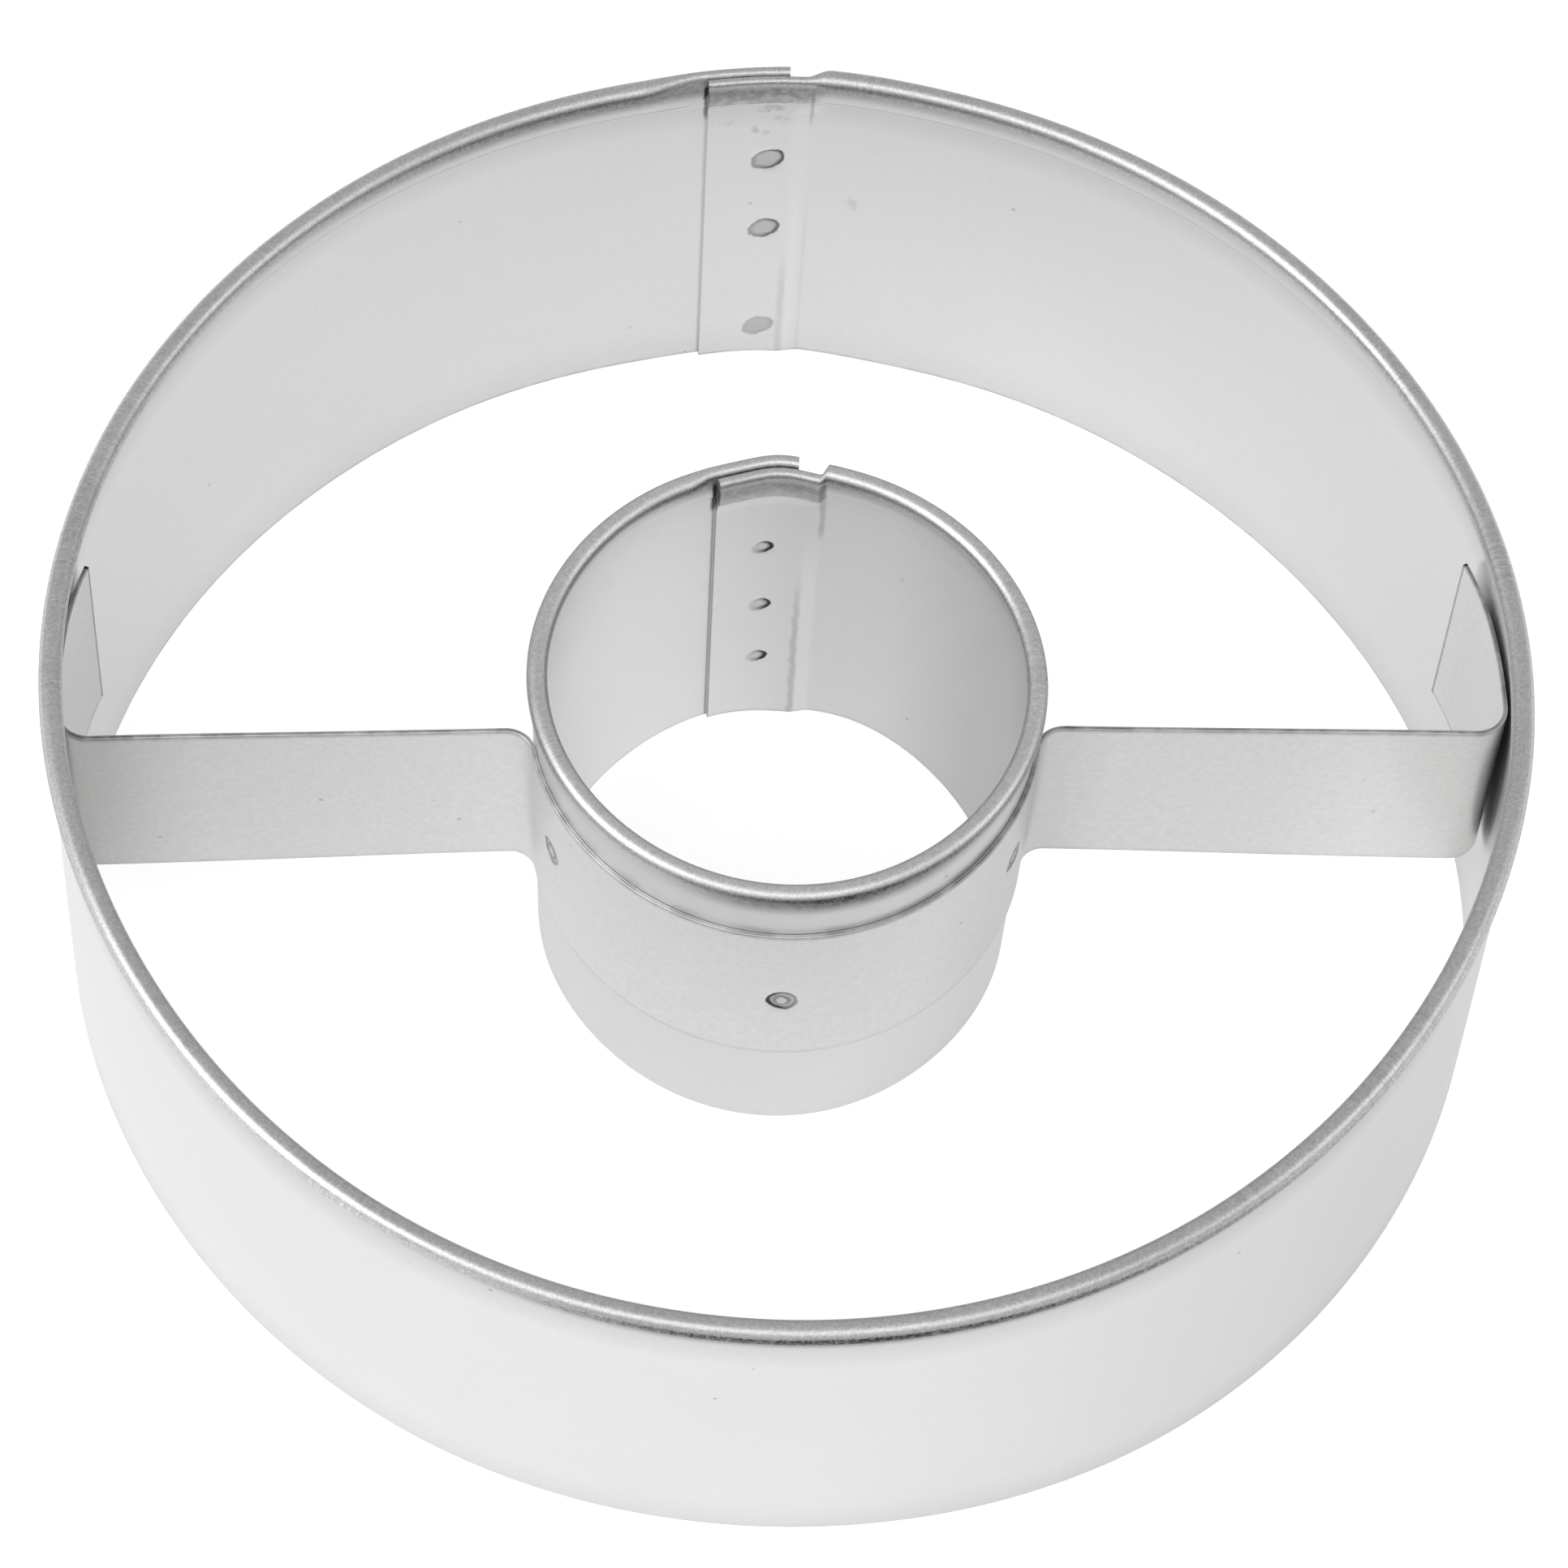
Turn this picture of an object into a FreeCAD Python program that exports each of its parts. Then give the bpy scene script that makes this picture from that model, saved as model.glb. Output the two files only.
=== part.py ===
import math
import os

import FreeCAD
import Part
from FreeCAD import Vector

# A ring cutter for doughnuts, in millimetres.
# The origin is the centre of the outer ring at its cutting edge, with +Z up.
# The bridge arms run along X and both lap seams face +Y.

# Outer ring
outerDiameter = 88.9
ringHeight = 28.4
ringSheet = 0.3
beadDiameter = 1.25
beadProud = 0.3
hemBelowBead = 1.45
outerBlend = 0.6
innerBlend = 0.4
beadFlatCount = 12
blendFlatCount = 2

# Lap seam of the outer ring, angles in degrees in plan
outerSeamEnd = 88.4
outerSeamCut = 95.0
outerJoggleStart = 87.2
outerJoggleEnd = 85.6
outerPressStart = 96.8
outerPressEnd = 95.6
outerLapHemWidth = 0.62
outerInnerLapHemWidth = 0.62

# Hole ring
holeDiameter = 31.1
holeCentreX = -0.2
holeCentreY = -1.2

# Lap seam of the hole ring, angles in degrees about its own centre
holeSeamEnd = 85.6
holeSeamCut = 105.0
holeJoggleStart = 82.4
holeJoggleEnd = 78.6
holePressStart = 109.5
holePressEnd = 106.2
holeLapHemWidth = 0.9
holeInnerLapHemWidth = 0.76
holeInnerLapLean = -0.34

# Both laps
outerLapDrop = 0.08
innerLapDrop = 0.2
leanHeight = 1.5

# Bridge strip
stripSheet = 0.3
stripHeight = 14.5
stripBelowHem = 2.0
armInnerY = -2.3
armOuterY = -3.0
holeBendRadius = 1.7
wallBendRadius = 1.9
tabContactEndY = 4.3
tabFreeLength = 5.2
tabFreeRadius = 21.0

# A straight run shorter than this is left out between two bends
smallestEdge = 0.001

# Spot weld marks
weldDepth = 0.09
outerWeldDiameter = 1.9
outerWeldAngle = 90.0
outerWeldTopDrop = 7.2
outerWeldMiddle = 13.9
outerWeldLow = 3.2
holeWeldDiameter = 1.3
holeWeldAngle = 93.0
holeWeldTopDrop = 9.1
holeWeldMiddle = 12.8
holeWeldLow = 6.7
stripWeldDiameter = 2.0
stripWeldFrontAngle = -91.4
stripWeldLeftAngle = -156.5
stripWeldRightAngle = -25.5
stripWeldFrontRise = 6.7
stripWeldSideRise = 8.4

beadRadius = beadDiameter / 2
outerWallRadius = outerDiameter / 2 - beadProud
holeWallRadius = holeDiameter / 2 - beadProud
hemBottom = ringHeight - beadDiameter - hemBelowBead
stripBottom = hemBottom - stripBelowHem - stripHeight
holeCentre = Vector(holeCentreX, holeCentreY, 0)


def polar(radius, degrees, z=0.0):
    """Give the point at a radius, an angle and a height."""
    a = math.radians(degrees)
    return Vector(radius * math.cos(a), radius * math.sin(a), z)


def arc_points(centre, radius, start, end, flats):
    """List the corners of an arc drawn as short flats, in a section (radius, height)."""
    points = []
    for i in range(flats + 1):
        a = start + (end - start) * i / flats
        points.append((centre[0] + radius * math.cos(a), centre[1] + radius * math.sin(a)))
    return points


def rolled_section(wall_radius):
    """List the corners of the strip section with its edge rolled inward into a bead."""
    bead = (wall_radius + beadProud - beadRadius, ringHeight - beadRadius)
    wall_inner = wall_radius - ringSheet
    flap_inner = wall_radius - 2 * ringSheet
    out_r = wall_radius + outerBlend
    out_z = bead[1] - math.sqrt((beadRadius + outerBlend) ** 2 - (out_r - bead[0]) ** 2)
    in_r = flap_inner - innerBlend
    in_z = bead[1] - math.sqrt((beadRadius + innerBlend) ** 2 - (bead[0] - in_r) ** 2)
    out_meet = math.atan2(bead[1] - out_z, bead[0] - out_r)
    in_meet = math.atan2(bead[1] - in_z, bead[0] - in_r)
    outer_side = arc_points((out_r, out_z), outerBlend, math.pi, out_meet, blendFlatCount)
    inner_side = arc_points((in_r, in_z), innerBlend, in_meet, 0.0, blendFlatCount)
    round_top = arc_points(bead, beadRadius, out_meet - math.pi, in_meet + math.pi, beadFlatCount)
    return [
        (wall_radius, 0.0),
        *outer_side,
        *round_top[1:-1],
        *inner_side,
        (flap_inner, hemBottom),
        (wall_inner, hemBottom),
        (wall_inner, hemBottom - leanHeight),
        (wall_inner, 0.0),
    ]


def pressed_section(wall_radius, hem_outer, hem_width, lean, drop):
    """List as many corners for a lap, whose hem is pressed narrower and may lean."""
    wall_inner = wall_radius - ringSheet
    flap_inner = hem_outer - hem_width
    half = hem_width / 2
    top = ringHeight - drop - half
    outer_side = [(wall_radius, hemBottom - leanHeight)]
    inner_side = []
    for i in range(blendFlatCount):
        share = i / (blendFlatCount - 1)
        outer_side.append((
            wall_radius + lean + (hem_outer - wall_radius - lean) * share,
            hemBottom + (top - hemBottom) * share))
    for i in range(blendFlatCount + 1):
        inner_side.append((flap_inner, top - (top - hemBottom) * i / (blendFlatCount + 1)))
    round_top = arc_points((hem_outer - half, top), half, 0.0, math.pi, beadFlatCount)
    return [
        (wall_radius, 0.0),
        *outer_side,
        *round_top[1:-1],
        *inner_side,
        (flap_inner, hemBottom),
        (wall_inner + lean, hemBottom),
        (wall_inner, hemBottom - leanHeight),
        (wall_inner, 0.0),
    ]


def stand(points, degrees):
    """Stand a section upright at an angle about the ring's axis, as a closed outline."""
    corners = [polar(r, degrees, z) for r, z in points]
    return Part.makePolygon(corners + corners[:1])


def sweep_back(points, start, end):
    """Sweep a section clockwise in plan, from one angle down to another."""
    face = Part.Face(stand(points, start))
    return face.revolve(Vector(0, 0, 0), Vector(0, 0, -1), start - end)


def change(first, first_angle, second, second_angle):
    """Carry one section straight over into another."""
    return Part.makeLoft([stand(first, first_angle), stand(second, second_angle)], True, True)


def dimple(wall_radius, degrees, height, diameter, side):
    """Give the ball that presses a weld mark into a wall, from inside or outside."""
    half = diameter / 2
    ball = (half ** 2 + weldDepth ** 2) / (2 * weldDepth)
    centre = polar(wall_radius + side * (ball - weldDepth), degrees, height)
    return Part.makeSphere(ball, centre)


def lap_ring(wall_radius, seam, welds):
    """Build a ring from one strip whose ends lap, joggle inward and are welded."""
    inner_wall = wall_radius - ringSheet
    rolled = rolled_section(wall_radius)
    rim = wall_radius + beadProud
    lap_hem = seam["hem_width"]
    outer_end = pressed_section(wall_radius, rim, lap_hem, 0.0, outerLapDrop)
    inner_end = pressed_section(
        inner_wall, rim - lap_hem, seam["inner_hem_width"], seam["inner_lean"], innerLapDrop)
    pieces = [
        sweep_back(rolled, seam["joggle_end"] + 360.0, seam["press_start"]),
        change(rolled, seam["press_start"], outer_end, seam["press_end"]),
        sweep_back(outer_end, seam["press_end"], seam["end"]),
        change(rolled, seam["joggle_end"], inner_end, seam["joggle_start"]),
        sweep_back(inner_end, seam["cut"], seam["joggle_start"]),
    ]
    ring = pieces[0].fuse(pieces[1:]).removeSplitter()
    for degrees, height, diameter in welds:
        ring = ring.cut(dimple(inner_wall - ringSheet, degrees, height, diameter, -1))
    return ring


def build_outer_ring():
    """Build the outer cutter ring."""
    seam = {
        "end": outerSeamEnd,
        "cut": outerSeamCut,
        "joggle_start": outerJoggleStart,
        "joggle_end": outerJoggleEnd,
        "press_start": outerPressStart,
        "press_end": outerPressEnd,
        "hem_width": outerLapHemWidth,
        "inner_hem_width": outerInnerLapHemWidth,
        "inner_lean": 0.0,
    }
    heights = (ringHeight - outerWeldTopDrop, outerWeldMiddle, outerWeldLow)
    welds = [(outerWeldAngle, height, outerWeldDiameter) for height in heights]
    return lap_ring(outerWallRadius, seam, welds)


def build_hole_ring():
    """Build the small ring that cuts the hole."""
    seam = {
        "end": holeSeamEnd,
        "cut": holeSeamCut,
        "joggle_start": holeJoggleStart,
        "joggle_end": holeJoggleEnd,
        "press_start": holePressStart,
        "press_end": holePressEnd,
        "hem_width": holeLapHemWidth,
        "inner_hem_width": holeInnerLapHemWidth,
        "inner_lean": holeInnerLapLean,
    }
    heights = (ringHeight - holeWeldTopDrop, holeWeldMiddle, holeWeldLow)
    welds = [(holeWeldAngle, height, holeWeldDiameter) for height in heights]
    ring = lap_ring(holeWallRadius, seam, welds)
    ring.translate(holeCentre)
    return ring


def bend_centre(start, direction, side, radius, about, reach):
    """Find the centre of a bend beside a line, at a set distance from another centre."""
    beside = start + side * radius - about
    along = beside.dot(direction)
    run = math.sqrt(reach ** 2 - beside.Length ** 2 + along ** 2) - along
    return start + side * radius + direction * run


def angle_of(vector):
    """Give a plan vector's angle in degrees."""
    return math.degrees(math.atan2(vector.y, vector.x))


def half_path(hole_x):
    """List the bridge's middle line from its front to its +X tab end, as plan arcs.

    Each arc is a centre, a radius and two angles.
    """
    hole = Vector(hole_x, holeCentreY, 0)
    wrap = holeWallRadius + stripSheet / 2
    tab = outerWallRadius - ringSheet - stripSheet / 2
    start = Vector(wrap, armInnerY, 0)
    direction = Vector(tab - wrap, armOuterY - armInnerY, 0).normalize()
    back = Vector(-direction.y, direction.x, 0)
    hole_bend = bend_centre(start, direction, back * -1, holeBendRadius, hole, wrap + holeBendRadius)
    wall_bend = bend_centre(start, direction, back, wallBendRadius, Vector(), tab - wallBendRadius)
    wrap_end = angle_of(hole_bend - hole)
    tab_start = angle_of(wall_bend)
    tab_end = math.degrees(math.asin(tabContactEndY / tab))
    free_end = tab_end + math.degrees(tabFreeLength / tabFreeRadius)
    return [
        (hole, wrap, -90.0, wrap_end),
        (hole_bend, holeBendRadius, wrap_end + 180.0, angle_of(back)),
        (wall_bend, wallBendRadius, angle_of(back) - 180.0, tab_start),
        (Vector(), tab, tab_start, tab_end),
        (polar(tab - tabFreeRadius, tab_end), tabFreeRadius, tab_end, free_end),
    ]


def side_edges(path, offset):
    """Draw one face of the strip as arcs joined by the straight arm."""
    edges = []
    last = None
    for centre, radius, start, end in path:
        turn = 1 if end > start else -1
        r = radius + turn * offset
        points = [centre + polar(r, a) for a in (start, (start + end) / 2, end)]
        if last and last.distanceToPoint(points[0]) > smallestEdge:
            edges.append(Part.LineSegment(last, points[0]).toShape())
        edges.append(Part.Arc(*points).toShape())
        last = points[2]
    return edges


def half_bridge(hole_x):
    """Build the +X half of the bridge strip."""
    path = half_path(hole_x)
    right = side_edges(path, stripSheet / 2)
    left = side_edges(path, -stripSheet / 2)
    first_ends = [side[0].valueAt(side[0].FirstParameter) for side in (right, left)]
    last_ends = [side[-1].valueAt(side[-1].LastParameter) for side in (right, left)]
    caps = [Part.LineSegment(*ends).toShape() for ends in (first_ends, last_ends)]
    wire = Part.Wire(Part.__sortEdges__(right + left + caps))
    solid = Part.Face(wire).extrude(Vector(0, 0, stripHeight))
    solid.translate(Vector(0, 0, stripBottom))
    return solid


def build_bridge_strip():
    """Build the strip that carries the hole ring inside the outer ring."""
    mirrored = half_bridge(-holeCentreX).mirror(Vector(), Vector(1, 0, 0))
    strip = half_bridge(holeCentreX).fuse(mirrored).removeSplitter()
    face_radius = holeWallRadius + stripSheet
    welds = (
        (stripWeldFrontAngle, stripWeldFrontRise),
        (stripWeldLeftAngle, stripWeldSideRise),
        (stripWeldRightAngle, stripWeldSideRise),
    )
    for degrees, rise in welds:
        mark = dimple(face_radius, degrees, stripBottom + rise, stripWeldDiameter, 1)
        mark.translate(holeCentre)
        strip = strip.cut(mark)
    return strip


def main():
    """Build every piece and write one STEP file each."""
    os.makedirs("parts", exist_ok=True)
    pieces = {
        "outer_ring": build_outer_ring(),
        "hole_ring": build_hole_ring(),
        "bridge_strip": build_bridge_strip(),
    }
    for name, shape in pieces.items():
        shape.exportStep(f"parts/{name}.step")
        print(name, "valid", shape.isValid(), "solids", len(shape.Solids), "volume", round(shape.Volume, 1))


main()
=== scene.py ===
import math

import bmesh
import bpy
from mathutils import Matrix, Vector


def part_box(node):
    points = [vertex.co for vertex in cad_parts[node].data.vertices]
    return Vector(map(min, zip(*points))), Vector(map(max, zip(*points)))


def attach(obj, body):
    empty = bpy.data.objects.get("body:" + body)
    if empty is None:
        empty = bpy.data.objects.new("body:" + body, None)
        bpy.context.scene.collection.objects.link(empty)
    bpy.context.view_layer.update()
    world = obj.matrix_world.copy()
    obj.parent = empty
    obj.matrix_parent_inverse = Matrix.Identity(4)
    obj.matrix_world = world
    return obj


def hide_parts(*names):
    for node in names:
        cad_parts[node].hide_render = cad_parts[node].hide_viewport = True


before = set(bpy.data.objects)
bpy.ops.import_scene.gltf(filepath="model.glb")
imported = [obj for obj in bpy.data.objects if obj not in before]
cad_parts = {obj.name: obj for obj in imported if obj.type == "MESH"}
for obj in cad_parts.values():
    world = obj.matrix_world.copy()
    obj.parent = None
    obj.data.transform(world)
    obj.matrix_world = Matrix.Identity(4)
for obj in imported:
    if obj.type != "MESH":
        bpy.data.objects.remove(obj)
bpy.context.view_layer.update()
mm = 0.001
print("frame loaded")

# Sizes the pieces share, read from the frame where it gives them
outerLow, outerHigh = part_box("outer_ring")
stripLow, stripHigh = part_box("bridge_strip")
rimHeight = outerHigh.z / mm

sheet = {
    "thick": 0.3,
    "edgeRound": 0.09,
    "waviness": 0.07,  # how far the hand-bent walls stray, in mm
    "wavelength": 17.0,
}

hem = {
    "low": 2.7,  # from the rim down to the end of the folded flap
    "outerBlend": 0.6,
    "innerBlend": 0.4,
    "flapRound": 0.11,
    "flapTaper": 0.55,
    "leanHeight": 1.5,
}
hemLow = rimHeight - hem["low"]


def polar(radius, degrees):
    a = math.radians(degrees)
    return Vector((radius * math.cos(a), radius * math.sin(a), 0))


def ramp(value, low, high, straight=0.0):
    # straight is the share that isn't eased, which makes a crisper fold
    t = min(1.0, max(0.0, (value - low) / (high - low)))
    return straight * t + (1.0 - straight) * t * t * (3 - 2 * t)


def between(start, end, steps):
    return [(start[0] + (end[0] - start[0]) * i / steps, start[1] + (end[1] - start[1]) * i / steps)
            for i in range(steps)]


def bend(centre, radius, start, end, steps):
    points = []
    for i in range(steps):
        a = start + (end - start) * i / steps
        points.append((centre[0] + radius * math.cos(a), centre[1] + radius * math.sin(a)))
    return points


# Sections, as (across, up) in mm, with the outer face of the wall at across 0
def rolledParts(look):
    r = look["bead"] / 2
    bead = (look["proud"] - r, rimHeight - r)
    flapIn = -2 * sheet["thick"]
    outR = hem["outerBlend"]
    outZ = bead[1] - math.sqrt((r + outR) ** 2 - (outR - bead[0]) ** 2)
    inR = flapIn - hem["innerBlend"]
    inZ = bead[1] - math.sqrt((r + hem["innerBlend"]) ** 2 - (bead[0] - inR) ** 2)
    outMeet = math.atan2(bead[1] - outZ, bead[0] - outR)
    inMeet = math.atan2(bead[1] - inZ, bead[0] - inR)
    return {
        "flapIn": flapIn,
        "lean": 0.0,
        "upperWall": lambda n: between((0.0, hemLow), (0.0, outZ), n),
        "outerBlend": lambda n: bend((outR, outZ), outR, math.pi, outMeet, n),
        "top": lambda n: bend(bead, r, outMeet - math.pi, inMeet + math.pi, n),
        "innerBlend": lambda n: bend((inR, inZ), hem["innerBlend"], inMeet, 0.0, n),
        "flapTop": inZ,
    }


def pressedParts(hemOuter, width, lean, drop):
    half = width / 2
    top = rimHeight - drop - half
    middle = ((lean + hemOuter) / 2, (hemLow + top) / 2)
    flapIn = hemOuter - width
    return {
        "flapIn": flapIn,
        "lean": lean,
        "upperWall": lambda n: between((lean, hemLow), middle, n),
        "outerBlend": lambda n: between(middle, (hemOuter, top), n),
        "top": lambda n: bend((hemOuter - half, top), half, 0.0, math.pi, n),
        "innerBlend": lambda n: between((flapIn, top), (flapIn, top - 0.5), n),
        "flapTop": top - 0.5,
    }


# Points in each run of a section, so that one section can turn into another
runs = {
    "wall": 16, "lean": 5, "upperWall": 5, "outerBlend": 8, "top": 34, "innerBlend": 7,
    "flap": 7, "flapCorner": 4, "flapFoot": 3, "leanBack": 5, "innerWall": 96,
    "footIn": 4, "foot": 2, "footOut": 4,
}
runNames = [name for name, count in runs.items() for _ in range(count)]


def outline(parts, inset):
    rnd = sheet["edgeRound"]
    t = sheet["thick"]
    leanLow = hemLow - hem["leanHeight"]
    flapIn = parts["flapIn"]
    lean = parts["lean"]
    tip = flapIn + hem["flapTaper"] * (lean - t - flapIn)
    corner = min(hem["flapRound"], 0.4 * (lean - t - tip))
    points = []
    points += between((0.0, rnd), (0.0, leanLow), runs["wall"])
    points += between((0.0, leanLow), (lean, hemLow), runs["lean"])
    points += parts["upperWall"](runs["upperWall"])
    points += parts["outerBlend"](runs["outerBlend"])
    points += parts["top"](runs["top"])
    points += parts["innerBlend"](runs["innerBlend"])
    points += between((flapIn, parts["flapTop"]), (tip, hemLow + corner), runs["flap"])
    points += bend((tip + corner, hemLow + corner), corner, math.pi, 1.5 * math.pi, runs["flapCorner"])
    points += between((tip + corner, hemLow), (lean - t, hemLow - 0.02), runs["flapFoot"])
    points += between((lean - t, hemLow - 0.02), (-t, leanLow), runs["leanBack"])
    points += between((-t, leanLow), (-t, rnd), runs["innerWall"])
    points += bend((-t + rnd, rnd), rnd, math.pi, 1.5 * math.pi, runs["footIn"])
    points += between((-t + rnd, 0.0), (-rnd, 0.0), runs["foot"])
    points += bend((-rnd, rnd), rnd, -0.5 * math.pi, 0.0, runs["footOut"])
    return [(across - inset, up) for across, up in points]


# Mesh helpers for the modelling tree
def loopMesh(name, count, closed, attributes):
    mesh = bpy.data.meshes.new(name)
    edges = [(i, i + 1) for i in range(count - 1)]
    if closed:
        edges.append((count - 1, 0))
    mesh.from_pydata([(0.001 * i, 0, 0) for i in range(count)], edges, [])
    for key, values in attributes.items():
        isVector = hasattr(values[0], "__len__")
        layer = mesh.attributes.new(key, "FLOAT_VECTOR" if isVector else "FLOAT", "POINT")
        if isVector:
            layer.data.foreach_set("vector", [c for v in values for c in v])
        else:
            layer.data.foreach_set("value", values)
    holder = bpy.data.objects.new(name, mesh)
    bpy.context.scene.collection.objects.link(holder)
    return holder


def addNode(tree, kind, inputs=None, **settings):
    made = tree.nodes.new(kind)
    for key, value in settings.items():
        setattr(made, key, value)
    for key, value in (inputs or {}).items():
        if isinstance(value, bpy.types.NodeSocket):
            tree.links.new(value, made.inputs[key])
        else:
            made.inputs[key].default_value = value
    return made


def readAttribute(tree, name, kind="FLOAT_VECTOR"):
    made = addNode(tree, "GeometryNodeInputNamedAttribute", {"Name": name}, data_type=kind)
    return made.outputs["Attribute"]


def vectorOp(tree, operation, a, b=None, scale=None):
    given = {key: value for key, value in ((0, a), (1, b), ("Scale", scale)) if value is not None}
    made = addNode(tree, "ShaderNodeVectorMath", given, operation=operation)
    return made.outputs["Value" if operation == "LENGTH" else "Vector"]


def numberOp(tree, operation, *values, clamp=False):
    made = addNode(tree, "ShaderNodeMath", dict(enumerate(values)), operation=operation, use_clamp=clamp)
    return made.outputs[0]


def blendVectors(tree, factor, a, b):
    return addNode(tree, "ShaderNodeMix", {0: factor, 4: a, 5: b}, data_type="VECTOR").outputs[1]


def blendNumbers(tree, factor, a, b):
    return addNode(tree, "ShaderNodeMix", {0: factor, 2: a, 3: b}).outputs[0]


def remap(tree, value, low, high, toLow=0.0, toHigh=1.0, smooth=True):
    made = addNode(tree, "ShaderNodeMapRange", {
        "Value": value, "From Min": low, "From Max": high, "To Min": toLow, "To Max": toHigh},
        interpolation_type="SMOOTHSTEP" if smooth else "LINEAR")
    return made.outputs["Result"]


# One tree bends a strip: the section is the modifier's own mesh, the path another object
def stripTree():
    tree = bpy.data.node_groups.new("bentStrip", "GeometryNodeTree")
    face = tree.interface
    wanted = {
        "Section": "Geometry", "Path": "Object", "Weld Points": "Object",
        "Weld Size": "Float", "Weld Depth": "Float", "Weld Crown": "Float",
        "Rim Height": "Float", "Waviness": "Float", "Wavelength": "Float", "Finish": "Material",
    }
    for label, kind in wanted.items():
        face.new_socket(name=label, in_out="INPUT", socket_type="NodeSocket" + kind)
    face.new_socket(name="Geometry", in_out="OUTPUT", socket_type="NodeSocketGeometry")
    given = addNode(tree, "NodeGroupInput").outputs
    pathInfo = addNode(tree, "GeometryNodeObjectInfo", {"Object": given["Path"]})
    pathCurve = addNode(tree, "GeometryNodeMeshToCurve", {"Mesh": pathInfo.outputs["Geometry"]})
    sectionCurve = addNode(tree, "GeometryNodeMeshToCurve", {"Mesh": given["Section"]})
    swept = addNode(tree, "GeometryNodeCurveToMesh", {
        "Curve": pathCurve.outputs["Curve"],
        "Profile Curve": sectionCurve.outputs["Curve"],
        "Fill Caps": True,
    })
    outerLap = blendVectors(tree, readAttribute(tree, "press", "FLOAT"),
                            readAttribute(tree, "rolled"), readAttribute(tree, "outerLap"))
    lap = blendNumbers(tree, readAttribute(tree, "hemPart", "FLOAT"),
                       readAttribute(tree, "lap", "FLOAT"), readAttribute(tree, "hemLap", "FLOAT"))
    place = blendVectors(tree, lap, outerLap, readAttribute(tree, "innerLap"))
    parts = addNode(tree, "ShaderNodeSeparateXYZ", {"Vector": place})
    side = readAttribute(tree, "side")
    away = vectorOp(tree, "SCALE", side, scale=parts.outputs["X"])
    lift = addNode(tree, "ShaderNodeCombineXYZ", {"Z": parts.outputs["Z"]})
    spot = vectorOp(tree, "ADD", readAttribute(tree, "spot"), away)
    spot = vectorOp(tree, "ADD", spot, lift.outputs["Vector"])
    heightShare = numberOp(tree, "DIVIDE", parts.outputs["Z"], given["Rim Height"])
    shift = blendVectors(tree, heightShare, readAttribute(tree, "lowShift"), readAttribute(tree, "highShift"))
    spot = vectorOp(tree, "ADD", spot, shift)
    shaped = addNode(tree, "GeometryNodeSetPosition",
                     {"Geometry": swept.outputs["Mesh"], "Position": spot})

    # Welds press the one face marked by faceSide in towards the sheet's other face
    weldInfo = addNode(tree, "GeometryNodeObjectInfo", {"Object": given["Weld Points"]})
    position = addNode(tree, "GeometryNodeInputPosition").outputs["Position"]
    near = addNode(tree, "GeometryNodeProximity", {"Geometry": weldInfo.outputs["Geometry"]},
                   target_element="EDGES")
    share = numberOp(tree, "DIVIDE", near.outputs["Distance"], given["Weld Size"])
    dent = remap(tree, share, 0.6, 1.05, 1.0, 0.0)
    crown = numberOp(tree, "MULTIPLY", remap(tree, share, 0.2, 0.6, 1.0, 0.0), given["Weld Crown"])
    depth = numberOp(tree, "MULTIPLY", numberOp(tree, "SUBTRACT", dent, crown), given["Weld Depth"])
    push = numberOp(tree, "MULTIPLY", depth, readAttribute(tree, "faceSide", "FLOAT"))

    # Painted light and shade, listed by angle round the rings and by x along the bridge, differs between the
    # two faces
    paintedLightHere = blendNumbers(tree, readAttribute(tree, "inner", "FLOAT"),
                            readAttribute(tree, "castOut", "FLOAT"), readAttribute(tree, "castIn", "FLOAT"))
    cast = addNode(tree, "GeometryNodeStoreNamedAttribute",
                   {"Geometry": shaped.outputs["Geometry"], "Name": "cast", "Value": paintedLightHere},
                   data_type="FLOAT", domain="POINT")

    # Hand-bent sheet is never quite true
    noise = addNode(tree, "ShaderNodeTexNoise", {
        "Vector": position,
        "Scale": numberOp(tree, "DIVIDE", 1.0, given["Wavelength"]),
        "Detail": 1.0,
        "Roughness": 0.4,
    })
    stray = numberOp(tree, "MULTIPLY", numberOp(tree, "SUBTRACT", noise.outputs["Fac"], 0.5), given["Waviness"])
    offset = vectorOp(tree, "SCALE", side, scale=numberOp(tree, "ADD", push, stray))
    finished = addNode(tree, "GeometryNodeSetPosition",
                       {"Geometry": cast.outputs["Geometry"], "Offset": offset})
    smooth = addNode(tree, "GeometryNodeSetShadeSmooth", {"Geometry": finished.outputs["Geometry"]})
    real = addNode(tree, "GeometryNodeRealizeInstances", {"Geometry": smooth.outputs["Geometry"]})
    coloured = addNode(tree, "GeometryNodeSetMaterial",
                       {"Geometry": real.outputs["Geometry"], "Material": given["Finish"]})
    out = addNode(tree, "NodeGroupOutput")
    tree.links.new(coloured.outputs["Geometry"], out.inputs["Geometry"])
    return tree


def runTree(tree, holder, values):
    mod = holder.modifiers.new("strip", "NODES")
    mod.node_group = tree
    for item in tree.interface.items_tree:
        if item.in_out == "INPUT" and item.name in values:
            mod[item.identifier] = values[item.name]
    bpy.context.view_layer.update()
    evaluated = holder.evaluated_get(bpy.context.evaluated_depsgraph_get())
    mesh = bpy.data.meshes.new_from_object(evaluated)
    holder.modifiers.remove(mod)
    return mesh


def finishMesh(mesh, name):
    work = bmesh.new()
    work.from_mesh(mesh)
    bmesh.ops.remove_doubles(work, verts=work.verts, dist=1e-7)
    bmesh.ops.recalc_face_normals(work, faces=work.faces)
    work.to_mesh(mesh)
    work.free()
    mesh.name = name
    piece = bpy.data.objects.new(name, mesh)
    bpy.context.scene.collection.objects.link(piece)
    return piece


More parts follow.
